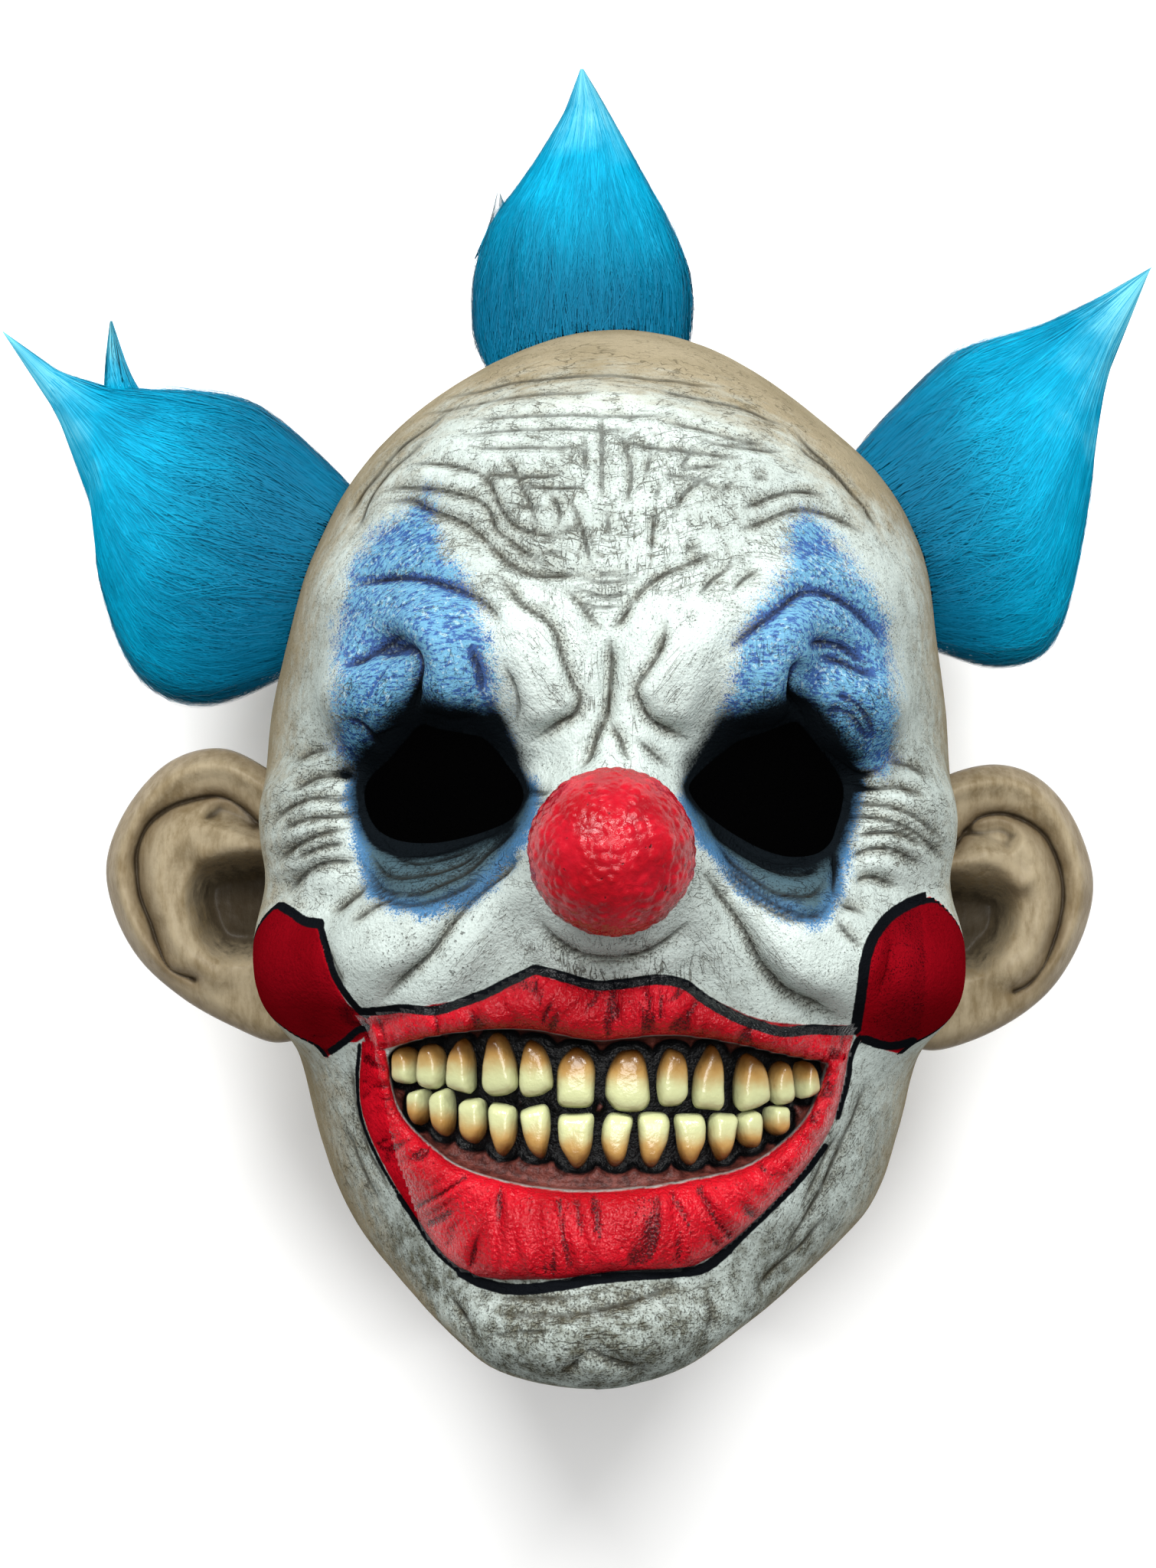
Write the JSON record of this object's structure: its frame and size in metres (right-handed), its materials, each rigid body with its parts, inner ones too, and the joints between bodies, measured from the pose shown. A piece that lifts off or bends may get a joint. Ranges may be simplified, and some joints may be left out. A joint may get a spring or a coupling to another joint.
{
  "type": "clown mask",
  "caption": "Over-the-head latex clown mask with open eyes, toothed grin, ball nose, large ears and tufts of turquoise hair, lying on its back.",
  "frame": {"origin": "centre of the flat spot on the back of the head, on the surface that it rests on", "axes": "+Z out of the face, +Y to the crown, +X to the right of someone who looks at the face"},
  "size_m": [0.2944, 0.3236, 0.27],
  "materials": {
    "painted_latex": "cast latex, painted off-white with red, blue, black and tan, dirt wash in the creases, red parts glossy",
    "tuft_hair": "long turquoise synthetic fur"
  },
  "bodies": {
    "root": {"mask_shell": "painted_latex", "hair_tuft_top": "tuft_hair", "hair_tuft_left": "tuft_hair", "hair_tuft_right": "tuft_hair"}
  },
  "joints": []
}
